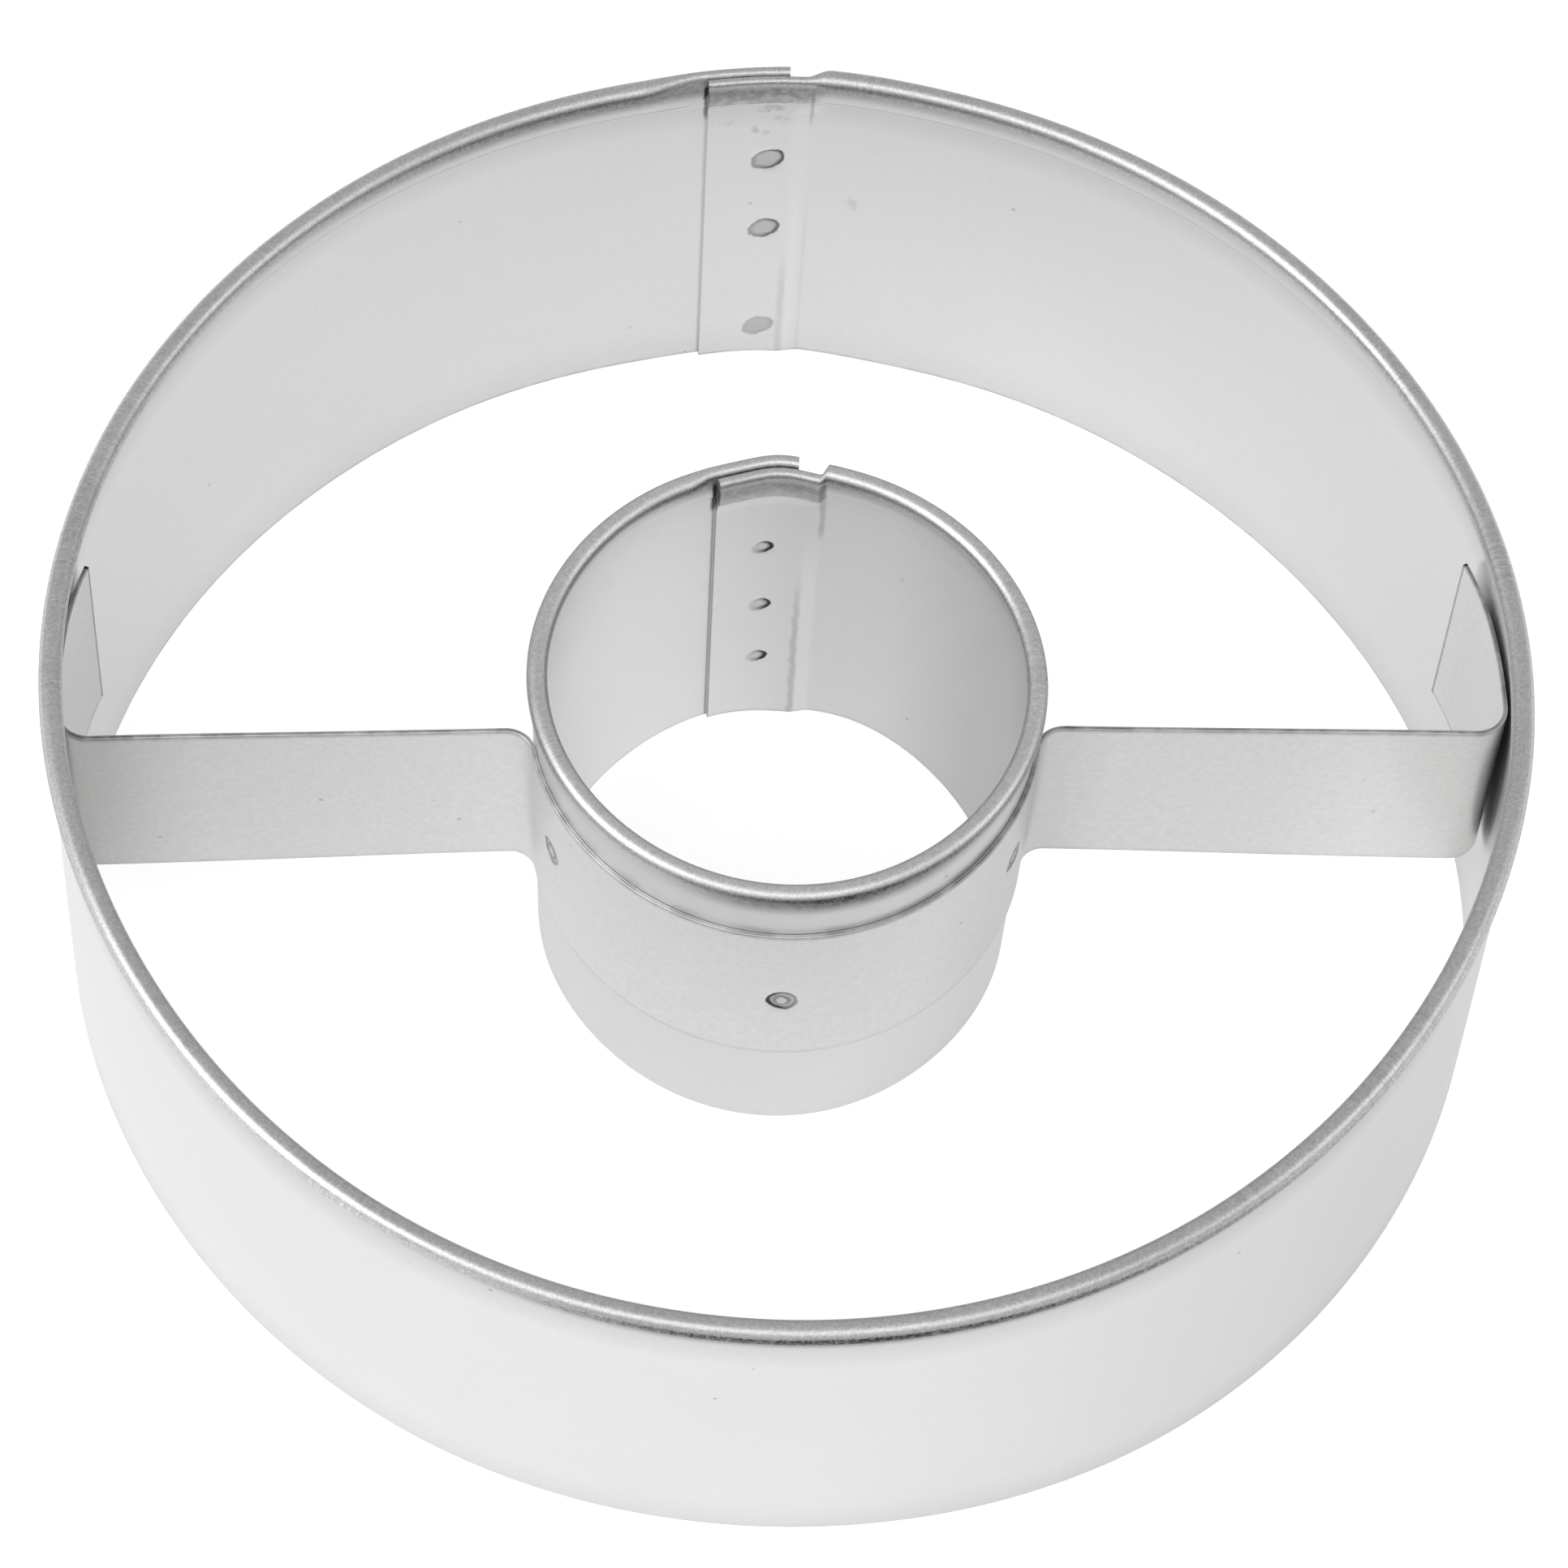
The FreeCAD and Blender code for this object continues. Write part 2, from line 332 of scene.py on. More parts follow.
def bendStrip(tree, name, sections, path, welds, finish):
    # sections are outlines in mm, path is a list of stations, welds are points in mm
    outlines = {key: [(x * mm, 0, z * mm) for x, z in sections[key]]
                for key in ("rolled", "outerLap", "innerLap")}
    shares = {key: sections[key] for key in ("faceSide", "cutEdge", "hemPart", "inner", "rim")}
    section = loopMesh(name + "Section", len(sections["rolled"]), True, outlines | shares)
    inMetres = ("spot", "along", "lowShift", "highShift")
    route = {key: [p[key] * mm if key in inMetres else p[key] for p in path] for key in path[0]}
    route = loopMesh(name + "Path", len(path), False, route)
    marks = bpy.data.meshes.new(name + "Welds")
    ends = []
    for weld, side in zip(welds["points"], welds["sides"]):
        across, up = welds["stretch"]
        reach = Vector((-side.y, side.x, 0)) * across / 2 + Vector((0, 0, up / 2))
        ends += [tuple((weld - reach) * mm), tuple((weld + reach) * mm)]
    marks.from_pydata(ends, [(2 * i, 2 * i + 1) for i in range(len(welds["points"]))], [])
    markHolder = bpy.data.objects.new(name + "Welds", marks)
    bpy.context.scene.collection.objects.link(markHolder)
    mesh = runTree(tree, section, {
        "Path": route,
        "Weld Points": markHolder,
        "Weld Size": welds["size"] / 2 * mm,
        "Weld Depth": welds["depth"] * mm,
        "Weld Crown": welds["crown"],
        "Rim Height": rimHeight * mm,
        "Waviness": sheet["waviness"] * mm,
        "Wavelength": sheet["wavelength"] * mm,
        "Finish": finish,
    })
    for holder in (section, route, markHolder):
        bpy.data.objects.remove(holder)
    piece = finishMesh(mesh, name)
    print(name, len(piece.data.polygons), "faces")
    return piece


# The metal's finish, with painted light and shade, shared by the three pieces with different values
def noiseAt(tree, vector, scale, detail=3.0, roughness=0.55, distortion=0.0):
    made = addNode(tree, "ShaderNodeTexNoise", {
        "Vector": vector, "Scale": scale, "Detail": detail, "Roughness": roughness, "Distortion": distortion})
    return made.outputs["Fac"]


def meshValue(tree, name):
    return addNode(tree, "ShaderNodeAttribute", attribute_name=name).outputs["Fac"]


def spotReach(tree, place, centre, size):
    # 1 at the edge of a flat oval, with its half widths in mm
    offset = vectorOp(tree, "SUBTRACT", place, tuple(c * mm for c in centre))
    scaled = vectorOp(tree, "DIVIDE", offset, tuple(s * mm for s in size))
    return vectorOp(tree, "LENGTH", scaled)


def lineMask(tree, value, at, half, soft):
    off = numberOp(tree, "ABSOLUTE", numberOp(tree, "SUBTRACT", value, at * mm))
    return remap(tree, off, half * mm, (half + soft) * mm, 1.0, 0.0)


def times(tree, *values):
    total = values[0]
    for value in values[1:]:
        total = numberOp(tree, "MULTIPLY", total, value)
    return total


def less(tree, tone, mask, amount):
    return numberOp(tree, "SUBTRACT", tone, numberOp(tree, "MULTIPLY", mask, amount))


# How much each mark takes off the metal's tone: wear, and painted shade and glints
wearAndShade = {
    "sparkle": (-0.1, 0.09),
    "scratch": 0.03,
    "strokes": 0.09,
    "cutEdge": (0.2, 0.42),
    "burr": 0.42,
    "hiddenWallShade": 0.45,
    "pit": 0.25,
    "darkest": 0.04,
}


def tinMaterial(name, look, welds):
    mat = bpy.data.materials.new(name)
    mat.use_nodes = True
    tree = mat.node_tree
    shader = tree.nodes["Principled BSDF"]
    shader.inputs["Metallic"].default_value = 1.0
    place = addNode(tree, "ShaderNodeTexCoord").outputs["Object"]
    height = addNode(tree, "ShaderNodeSeparateXYZ", {"Vector": place}).outputs["Z"]
    along = meshValue(tree, "along")
    inner = meshValue(tree, "inner")
    rim = meshValue(tree, "rim")
    shade = meshValue(tree, "shade")
    flat = addNode(tree, "ShaderNodeCombineXYZ", {"X": along, "Y": height}).outputs["Vector"]

    # Broad clouds, fine grain, a fine speckle and faint scratches
    clouds = noiseAt(tree, place, 70.0, 3.0, 0.5)
    fine = noiseAt(tree, place, 2600.0, 3.0, 0.6)
    speckle = noiseAt(tree, place, 6500.0, 2.0, 0.6)
    scratchPlace = addNode(tree, "ShaderNodeMapping", {
        "Vector": flat, "Scale": (160.0, 5200.0, 1.0), "Rotation": (0, 0, 0.3)})
    scratchNoise = noiseAt(tree, scratchPlace.outputs["Vector"], 1.0, 1.0, 0.5, 0.4)
    scratches = remap(tree, scratchNoise, 0.74, 0.82)

    tone = remap(tree, clouds, 0.3, 0.7, look["tone"] - look["toneChange"], look["tone"] + look["toneChange"])
    # Painted light and shade from the tables, kept off the rolled edge
    cast = times(tree, meshValue(tree, "cast"), remap(tree, rim, 0.1, 0.6, 1.0, 0.0))
    tone = numberOp(tree, "ADD", tone, cast)
    tone = numberOp(tree, "ADD", tone, remap(tree, fine, 0.3, 0.75, -look["grainTone"], look["grainTone"]))
    # Fine speckle on the rolled edge: partly grain, partly painted glints
    tone = numberOp(tree, "ADD", tone, times(tree, rim, remap(tree, speckle, 0.3, 0.75, *wearAndShade["sparkle"])))
    tone = less(tree, tone, scratches, wearAndShade["scratch"])

    # Short strokes across the rolled edge, left by the rolling, in patches
    strokePlace = addNode(tree, "ShaderNodeMapping", {"Vector": flat, "Scale": (3600.0, 500.0, 1.0)})
    strokes = noiseAt(tree, strokePlace.outputs["Vector"], 1.0, 3.0, 0.7, 1.5)
    patches = remap(tree, noiseAt(tree, place, 90.0, 2.0), 0.5, 0.62)
    strokes = times(tree, remap(tree, strokes, 0.3, 0.75, -wearAndShade["strokes"], wearAndShade["strokes"]), rim, patches)
    tone = numberOp(tree, "ADD", tone, strokes)

    # Painted shade in the hollow under the rolled edge, scaled by angle with the shade table
    beadLow = rimHeight - look["bead"]
    hollow = times(tree, remap(tree, height, (beadLow + look["hollowTop"]) * mm,
                         (beadLow + look["hollowTop"] + 0.25) * mm, 1.0, 0.0),
                   remap(tree, height, (beadLow - look["hollow"]) * mm, (beadLow + 0.1) * mm))
    hollow = times(tree, hollow, shade, remap(tree, fine, 0.3, 0.7, 0.85, 1.1))
    hemLap = meshValue(tree, "hemLap")
    hollow = times(tree, hollow, remap(tree, hemLap, 0.0, 1.0, 1.0, 0.5))
    tone = less(tree, tone, hollow, look["hollowShadeDark"])

    # Painted shade: the wall darkens a little towards the rim, below the hollow. It also darkens a little
    # towards its foot
    slope = remap(tree, height, (beadLow - 3.6) * mm, (beadLow - 0.5) * mm, smooth=False)
    tone = less(tree, tone, slope, look["slopeShadeDark"])
    foot = remap(tree, height, 0.0, 4.0 * mm, 1.0, 0.0)
    tone = less(tree, tone, foot, look["footDark"])

    # The cut edges are bare and darker, and the same darkening paints the shade along them: partly real, partly
    # painted shade
    edge = meshValue(tree, "cutEdge")
    edgeNoise = noiseAt(tree, place, 700.0, 2.0)
    edgeDark = times(tree, edge, remap(tree, edgeNoise, 0.35, 0.65, *wearAndShade["cutEdge"]))
    tone = numberOp(tree, "SUBTRACT", tone, edgeDark)

    # Upright lines at known places along the strip: painted shade beside folds and steps and in the gap beside
    # the lap's end; a negative darkness paints a lighter band of painted light
    raggedNoise = noiseAt(tree, place, 900.0, 3.0, 0.7)
    ragged = numberOp(tree, "MULTIPLY", numberOp(tree, "SUBTRACT", raggedNoise, 0.5), 0.5 * mm)
    for mark in look["uprights"]:
        wander = numberOp(tree, "MULTIPLY", ragged, mark["ragged"])
        line = lineMask(tree, numberOp(tree, "ADD", along, wander), mark["at"], mark["half"], mark["soft"])
        line = times(tree, line, inner,
                     remap(tree, height, (mark["low"] - mark["fade"]) * mm, (mark["low"] + mark["fade"]) * mm),
                     remap(tree, height, (mark["high"] - mark["fade"]) * mm, (mark["high"] + mark["fade"]) * mm,
                           1.0, 0.0))
        tone = less(tree, tone, line, mark["dark"])

    # Burr along the cut edges that face up or down, partly real burr and partly painted shade along the strip's
    # lower edge
    for level in look["burrs"]:
        wander = numberOp(tree, "MULTIPLY", ragged, 0.1)
        line = lineMask(tree, numberOp(tree, "ADD", height, wander), level, 0.04, 0.08)
        line = times(tree, line, remap(tree, raggedNoise, 0.25, 0.6, 0.4, 1.0))
        tone = less(tree, tone, line, wearAndShade["burr"])

    # Painted shade in the deep gaps beside the tabs
    for centre, size, dark in look["gapShades"]:
        gap = times(tree, remap(tree, spotReach(tree, place, centre, size), 0.75, 1.0, 1.0, 0.0), inner,
                    remap(tree, height, stripHigh.z - 0.7 * mm, stripHigh.z, 1.0, 0.0))
        tone = less(tree, tone, gap, dark)
    # Painted shade also on the wall that the lap hides, seen in the gap at the lap
    hiddenWallShade = remap(tree, along, (look["lapEnd"] - 0.25) * mm, (look["lapEnd"] - 0.05) * mm, 1.0, 0.0)
    hiddenWallShade = times(tree, hiddenWallShade, inner, remap(tree, rim, 0.0, 0.3, 1.0, 0.0))
    tone = less(tree, tone, hiddenWallShade, wearAndShade["hiddenWallShade"])

    # Scale left in the corner of the lap, in a mottled band under its rolled edge
    bandLow = remap(tree, height, (look["bandLow"] - 0.04) * mm, (look["bandLow"] + 0.04) * mm)
    bandHigh = remap(tree, height, look["bandHigh"] * mm, (look["bandHigh"] + 0.4) * mm, 1.0, 0.0)
    bandPlace = addNode(tree, "ShaderNodeMapping", {"Vector": flat, "Scale": (1700.0, 1900.0, 1.0)})
    bandNoise = noiseAt(tree, bandPlace.outputs["Vector"], 1.0, 4.0, 0.7)
    band = times(tree, bandLow, bandHigh, hemLap, inner)
    mottled = times(tree, band, remap(tree, bandNoise, 0.38, 0.58, 0.25, 1.0))
    tone = less(tree, tone, mottled, look["bandDark"])

    # Weld marks: a pressed oval with a dark rim. The face's darkness is partly the weld's own colour, partly
    # painted shade, and the rim is painted darker on one side, the dent's shaded side
    weldFace = None
    for spot, ringDark in zip(welds["points"], look["weldDarks"]):
        away = addNode(tree, "ShaderNodeSeparateXYZ", {
            "Vector": vectorOp(tree, "SUBTRACT", place, tuple(c * mm for c in spot))}).outputs["X"]
        rise = addNode(tree, "ShaderNodeCombineXYZ", {"Z": numberOp(tree, "MULTIPLY", away, look["weldTilt"])})
        tilted = vectorOp(tree, "SUBTRACT", place, rise.outputs["Vector"])
        reach = spotReach(tree, tilted, spot, (welds["wide"] / 2, welds["wide"] / 2, welds["tall"] / 2))
        reach = numberOp(tree, "ADD", reach, remap(tree, raggedNoise, 0.2, 0.8, -0.14, 0.14, smooth=False))
        face = remap(tree, reach, 0.82, 0.98, 1.0, 0.0)
        turned = remap(tree, away, -0.4 * welds["wide"] * mm, 0.4 * welds["wide"] * mm,
                       1.0 - look["weldShadeTurn"], 1.0 + look["weldShadeTurn"])
        rimLine = times(tree, remap(tree, reach, look["weldRimStart"], 0.86), face, turned)
        tone = less(tree, tone, face, look["weldDark"])
        tone = less(tree, tone, rimLine, ringDark)
        if look["weldEye"]:
            eye = times(tree, remap(tree, reach, 0.28, 0.42), remap(tree, reach, 0.48, 0.62, 1.0, 0.0))
            tone = less(tree, tone, eye, look["weldEye"])
        weldFace = face if weldFace is None else numberOp(tree, "MAXIMUM", weldFace, face)

    # Small dark scuffs at known places
    for centre, size, dark in look["scuffs"]:
        scuff = remap(tree, spotReach(tree, place, centre, size), 0.6, 1.0, 1.0, 0.0)
        scuff = times(tree, scuff, remap(tree, raggedNoise, 0.42, 0.6), inner)
        tone = less(tree, tone, scuff, dark)

    # Now and then a tiny pit
    pits = addNode(tree, "ShaderNodeTexVoronoi", {"Vector": place, "Scale": 260.0}, feature="F1")
    pitChance = noiseAt(tree, place, 400.0, 1.0)
    pitMask = times(tree, remap(tree, pits.outputs["Distance"], 0.02, 0.05, 1.0, 0.0),
                    remap(tree, pitChance, look["pitLow"], look["pitLow"] + 0.06))
    tone = less(tree, tone, pitMask, wearAndShade["pit"])
    tone = numberOp(tree, "MAXIMUM", tone, wearAndShade["darkest"])

    colour = addNode(tree, "ShaderNodeCombineColor", {
        channel: numberOp(tree, "MULTIPLY", tone, share) for channel, share in look["tint"].items()})
    tree.links.new(colour.outputs["Color"], shader.inputs["Base Color"])

    rough = remap(tree, clouds, 0.3, 0.7, look["rough"] - 0.03, look["rough"] + 0.04)
    rough = numberOp(tree, "ADD", rough, remap(tree, fine, 0.3, 0.7, -0.02, 0.03))
    rough = numberOp(tree, "ADD", rough, numberOp(tree, "MULTIPLY", rim, look["rimRough"]))
    rough = numberOp(tree, "ADD", rough, numberOp(tree, "MULTIPLY", band, 0.2))
    rough = numberOp(tree, "ADD", rough, numberOp(tree, "MULTIPLY", edge, 0.15), clamp=True)
    tree.links.new(rough, shader.inputs["Roughness"])

    grit = numberOp(tree, "MULTIPLY", fine, 0.6)
    grit = numberOp(tree, "ADD", grit, numberOp(tree, "MULTIPLY", speckle, 0.25))
    grit = times(tree, grit, numberOp(tree, "ADD", numberOp(tree, "MULTIPLY", rim, look["rimGrain"]), 1.0))
    grit = less(tree, grit, scratches, 0.3)
    grit = numberOp(tree, "ADD", grit, times(tree, band, bandNoise, 4.0))
    grit = less(tree, grit, weldFace, 1.5)
    bump = addNode(tree, "ShaderNodeBump", {
        "Height": grit, "Strength": look["bump"], "Distance": 0.02 * mm})
    tree.links.new(bump.outputs["Normal"], shader.inputs["Normal"])
    return mat


modelTree = stripTree()


# Outer ring: one strip whose ends lap at the back, with its upper edge rolled
outerRingLook = {
    "seamEnd": 88.15,
    "seamCut": 95.0,
    "joggleStart": 87.9,
    "joggleEnd": 85.9,
    "creaseStart": 86.9,
    "creaseEnd": 84.8,
    "pressStart": 101.0,
    "pressEnd": 95.2,
    "bead": 1.4,
    "proud": 0.4,
    "lapHem": 0.72,
    "innerLapHem": 0.62,
    "innerLapLean": 0.0,
    "weldAngle": 89.7,
    "weldHeights": (20.2, 13.2, 2.8),
    "weldWide": 2.4,
    "weldTall": 2.1,
    "weldDepth": 0.08,
    "lapStep": 0.2,  # degrees between stations in the lap
    "step": 1.25,
    # Share of painted shade in the hollow under the rolled edge, by angle
    "shade": ((-10, 0.3), (10, 0.2), (30, 0.1), (50, 0.1), (70, 0.3), (100, 0.65), (115, 0.55), (130, 0.3),
              (150, 0.15), (170, 0.25), (200, 0.2), (215, 0.0), (235, 0.0), (245, 0.2), (260, 0.8),
              (275, 1.0), (290, 0.8), (305, 0.5), (320, 0.2), (335, 0.1), (350, 0.3), (370, 0.2)),
    # Painted light and shade on the inner and outer faces, by angle
    "castIn": ((-10, 0.0), (60, -0.02), (120, -0.02), (200, 0.0), (370, 0.0)),
    "castOut": ((-10, -0.05), (0, 0.0), (30, 0.0), (180, 0.0), (210, -0.02), (240, -0.02), (270, -0.03),
                (285, -0.06), (300, -0.09), (320, -0.12), (340, -0.1), (370, 0.0)),
    # How far the finished ring strays from a true circle, in mm, by order round it
    "highStray": {2: (-0.191, 0.04), 3: (0.047, 0.153), 4: (0.085, -0.019), 6: (0.048, -0.013)},
    "lowStray": {1: (0.165, -0.319), 2: (0.53, -0.197), 3: (0.004, -0.063), 4: (0.147, -0.015),
                 5: (0.003, 0.066), 6: (0.047, 0.0)},
    "highSlide": (0.0, 0.0),
    "lowSlide": (0.0, 0.0),
    "lowShrink": 0.0,
    "highBulges": ((87.0, 9.0, 0.37), (86.0, 24.0, 0.28)),  # angle, half width in degrees, mm
    "lowBulges": ((89.0, 8.0, 0.6),),
}

# Hole ring: the same, smaller, and off centre
holeRingLook = {
    "seamEnd": 85.6,
    "seamCut": 105.0,
    "joggleStart": 84.0,
    "joggleEnd": 79.0,
    "creaseStart": 80.2,
    "creaseEnd": 78.6,
    "pressStart": 112.0,
    "pressEnd": 105.5,
    "bead": 1.25,
    "proud": 0.3,
    "lapHem": 0.9,
    "innerLapHem": 0.76,
    "innerLapLean": -0.34,
    "weldAngle": 93.0,
    "weldHeights": (19.3, 12.8, 6.7),
    "weldWide": 1.5,
    "weldTall": 1.4,
    "weldDepth": 0.07,
    "lapStep": 0.55,
    "step": 1.5,
    "shade": ((-10, 0.3), (20, 0.35), (50, 0.3), (70, 0.5), (90, 0.7), (110, 0.7), (130, 0.3), (160, 0.3),
              (200, 0.35), (220, 0.1), (240, 0.15), (260, 0.75), (280, 1.0), (300, 0.75), (320, 0.35),
              (340, 0.3), (370, 0.3)),
    # Painted light and shade on the inner and outer faces, by angle
    "castIn": ((-10, -0.3), (30, -0.21), (60, -0.05), (85, -0.02), (100, 0.06), (115, 0.12), (130, 0.14),
               (145, 0.11), (160, 0.03), (200, 0.05), (330, -0.2), (370, -0.3)),
    "castOut": ((-10, -0.06), (180, 0.0), (250, 0.0), (280, 0.0), (320, -0.06), (370, -0.06)),
    "highStray": {2: (-0.079, -0.049), 3: (0.013, 0.0), 4: (0.044, 0.015)},
    "lowStray": {2: (-0.261, 0.031), 3: (-0.045, -0.09), 4: (0.135, -0.043)},
    "highSlide": (0.0, -0.26),
    "lowSlide": (0.19, 0.39),
    "lowShrink": 0.16,
    "highBulges": ((90.0, 8.0, 0.37),),
    "lowBulges": ((85.0, 12.0, -0.27),),
}


def ringSections(look):
    lapHem = look["lapHem"]
    t = sheet["thick"]
    rolled = outline(rolledParts(look), 0.0)
    outerLap = outline(pressedParts(look["proud"], lapHem, 0.0, 0.08), 0.0)
    hemOuter = look["proud"] - lapHem + t
    innerLap = outline(pressedParts(hemOuter, look["innerLapHem"], look["innerLapLean"], 0.2), t)
    topMiddle = runNames.index("top") + runs["top"] // 2
    footMiddle = runNames.index("foot")
    cutShare = {"flapCorner": 0.05, "flapFoot": 0.05, "footIn": 0.5, "foot": 0.5, "footOut": 0.5}
    rimShare = {"outerBlend": 0.5, "top": 1.0, "innerBlend": 0.5}
    return {
        "rolled": rolled, "outerLap": outerLap, "innerLap": innerLap,
        "faceSide": [1.0 if name == "innerWall" else 0.0 for name in runNames],
        "cutEdge": [cutShare.get(name, 0.0) for name in runNames],
        "rim": [rimShare.get(name, 0.0) for name in runNames],
        "inner": [1.0 if topMiddle <= i <= footMiddle else 0.0 for i in range(len(runNames))],
        "hemPart": [1.0 if up > hemLow - 0.9 else 0.0 for across, up in rolled],
    }


def readTable(table, value):
    for (a, low), (b, high) in zip(table, table[1:]):
        if a <= value <= b:
            return low + (high - low) * (value - a) / (b - a)
    return table[0][1]


def strayAt(look, which, degrees):
    # Where the low or high edge lies, off its true circle
    a = math.radians(degrees)
    out = 0.0
    for order, (withCos, withSin) in look[which + "Stray"].items():
        out += withCos * math.cos(order * a) + withSin * math.sin(order * a)
    if which == "low":
        out -= look["lowShrink"]
    for middle, halfWidth, height in look[which + "Bulges"]:
        turned = (degrees - middle + 180.0) % 360.0 - 180.0
        out += height * math.exp(-(turned / halfWidth) ** 2)
    return polar(out, degrees) + Vector((*look[which + "Slide"], 0))


def ringPath(look, centre, wallRadius):
    angles = []
    angle = look["seamEnd"]
    last = look["seamCut"] + 360.0
    while angle < last - 1e-6:
        angles.append(angle)
        inLap = angle < look["pressStart"] + 1.0 or angle > look["joggleEnd"] + 358.0
        angle += look["lapStep"] if inLap else look["step"]
    angles.append(last)
    path = []
    for a in angles:
        side = polar(1.0, a)
        path.append({
            "spot": centre + side * wallRadius,
            "side": side,
            "lap": ramp(a, look["joggleEnd"] + 360.0, look["joggleStart"] + 360.0, 0.6),
            "hemLap": ramp(a, look["creaseEnd"] + 360.0, look["creaseStart"] + 360.0),
            "press": 1.0 - ramp(a, look["pressEnd"], look["pressStart"]),
            "along": math.radians(a) * wallRadius,
            "shade": readTable(look["shade"], (a + 10.0) % 360.0 - 10.0),
            "castIn": readTable(look["castIn"], (a + 10.0) % 360.0 - 10.0),
            "castOut": readTable(look["castOut"], (a + 10.0) % 360.0 - 10.0),
            "lowShift": strayAt(look, "low", a),
            "highShift": strayAt(look, "high", a),
        })
    return path


def ringWelds(look, centre, wallRadius):
    reach = wallRadius - 2 * sheet["thick"]
    spots = [centre + polar(reach, look["weldAngle"]) + Vector((0, 0, z)) for z in look["weldHeights"]]
    moved = []
    for spot in spots:
        share = spot.z / rimHeight
        shift = strayAt(look, "low", look["weldAngle"]).lerp(strayAt(look, "high", look["weldAngle"]), share)
        moved.append(spot + shift)
    return {"points": moved, "sides": [polar(1.0, look["weldAngle"])] * len(moved),
            "wide": look["weldWide"], "tall": look["weldTall"], "depth": look["weldDepth"],
            "size": look["weldTall"], "stretch": (look["weldWide"] - look["weldTall"], 0.0), "crown": 0.0}


def markAt(place, half, soft, low, high, dark, fade=0.4, ragged=0.0):
    return {"at": place, "half": half, "soft": soft,
            "low": low, "high": high, "dark": dark, "fade": fade, "ragged": ragged}


def upright(radius, degrees, *sizes):
    return markAt(math.radians(degrees) * radius, *sizes)


outerWall = 88.9 / 2 - 0.3
holeWall = 31.1 / 2 - 0.3

outerTin = {
    "tone": 0.86,
    "toneChange": 0.015,
    "slopeShadeDark": 0.15,
    "footDark": 0.05,
    "grainTone": 0.012,
    "pitLow": 0.5,
    "burrs": (),
    "gapShades": (
        ((-43.6, 5.9, 18.0), (1.5, 3.7, 7.6), 0.75),
        ((43.6, 5.6, 16.6), (1.5, 3.9, 7.4), 0.6),
        ((43.6, -1.9, 15.5), (1.5, 2.4, 7.6), 0.4),
    ),
    "lapEnd": math.radians(95.0) * outerWall,
    "tint": {"Red": 1.0, "Green": 1.0, "Blue": 0.995},
    "rough": 0.32,
    "rimRough": 0.06,
    "rimGrain": 3.0,
    "bump": 0.15,
    "bead": 1.4,
    "hollow": 1.0,
    "hollowTop": 0.93,
    "hollowShadeDark": 0.64,
    "bandLow": 25.9,
    "bandHigh": 27.4,
    "bandDark": 0.2,
    "weldDark": 0.25,
    "weldDarks": (0.36, 0.32, 0.06),
    "weldRimStart": 0.5,
    "weldShadeTurn": 0.45,
    "weldTilt": 0.22,
    "weldEye": 0.0,
    # Lines of painted shade beside the lap's cut end and at the fold, with one lighter line of painted light
    "uprights": (
        upright(outerWall, 95.12, 0.03, 0.09, -2, 27.3, 0.12),
        upright(outerWall, 455.0, 0.02, 0.06, -2, 27.3, 0.14),
        upright(outerWall, 95.2, 0.06, 0.12, 24.4, 27.3, 0.4, 0.4, 1.0),
        upright(outerWall, 447.8, 0.05, 0.35, -2, 9, 0.11, 3.0, 0.6),
        upright(outerWall, 447.1, 0.1, 0.35, -2, 16, -0.025, 3.0),
        upright(outerWall, 446.1, 0.03, 0.2, -2, 15, 0.05, 3.0),
        upright(outerWall, 446.15, 0.04, 0.16, 23.6, 26.8, 0.2, 0.8, 0.6),
    ),
    "scuffs": (
        ((-0.25, 44.2, 23.2), (0.8, 0.8, 0.7), 0.2),
        ((1.3, 44.3, 24.3), (1.0, 0.8, 0.6), 0.2),
        ((0.2, 44.3, 25.2), (1.2, 0.8, 0.5), 0.18),
        ((-2.6, 44.2, 24.2), (0.7, 0.8, 0.6), 0.12),
        ((5.9, 43.4, 16.2), (0.6, 0.9, 1.1), 0.12),
    ),
}
holeTin = dict(
    outerTin, rough=0.34, bead=1.25, hollow=1.5, hollowTop=0.84, hollowShadeDark=0.66, slopeShadeDark=0.06, gapShades=(),
    lapEnd=math.radians(105.2) * holeWall,
    bandLow=25.2, bandHigh=27.2, bandDark=0.16, weldDark=0.14, weldDarks=(0.5, 0.42, 0.5), weldShadeTurn=0.95,
    weldRimStart=0.2, footDark=0.0,
    uprights=(
        # Lines of painted shade beside the lap's cut end and at the fold, with one lighter line of painted
        # light
        upright(holeWall, 105.4, 0.03, 0.08, -2, 27.3, 0.34),
        upright(holeWall, 465.0, 0.02, 0.05, -2, 27.3, 0.35),
        upright(holeWall, 105.6, 0.07, 0.1, 24.2, 27.3, 0.5, 0.4, 0.6),
        upright(holeWall, 443.9, 0.04, 0.3, -2, 14, 0.2, 3.0, 1.0),
        upright(holeWall, 441.4, 0.25, 0.4, -2, 19, -0.06, 3.0),
        upright(holeWall, 439.3, 0.05, 0.25, 20.8, 26.0, 0.22, 0.8, 0.6),
    ),
    scuffs=(),
)
stripTin = dict(
    outerTin, rough=0.34, tone=0.86, hollowShadeDark=0.0, slopeShadeDark=0.0, bandDark=0.0, rimGrain=0.0,
    grainTone=0.035, pitLow=0.34, footDark=0.0, burrs=(stripLow.z / mm,), gapShades=(), lapEnd=-10.0,
    weldDark=0.16, weldDarks=(0.7, 0.4, 0.4), weldShadeTurn=-0.45, weldTilt=0.0, weldEye=0.4, scuffs=(),
)

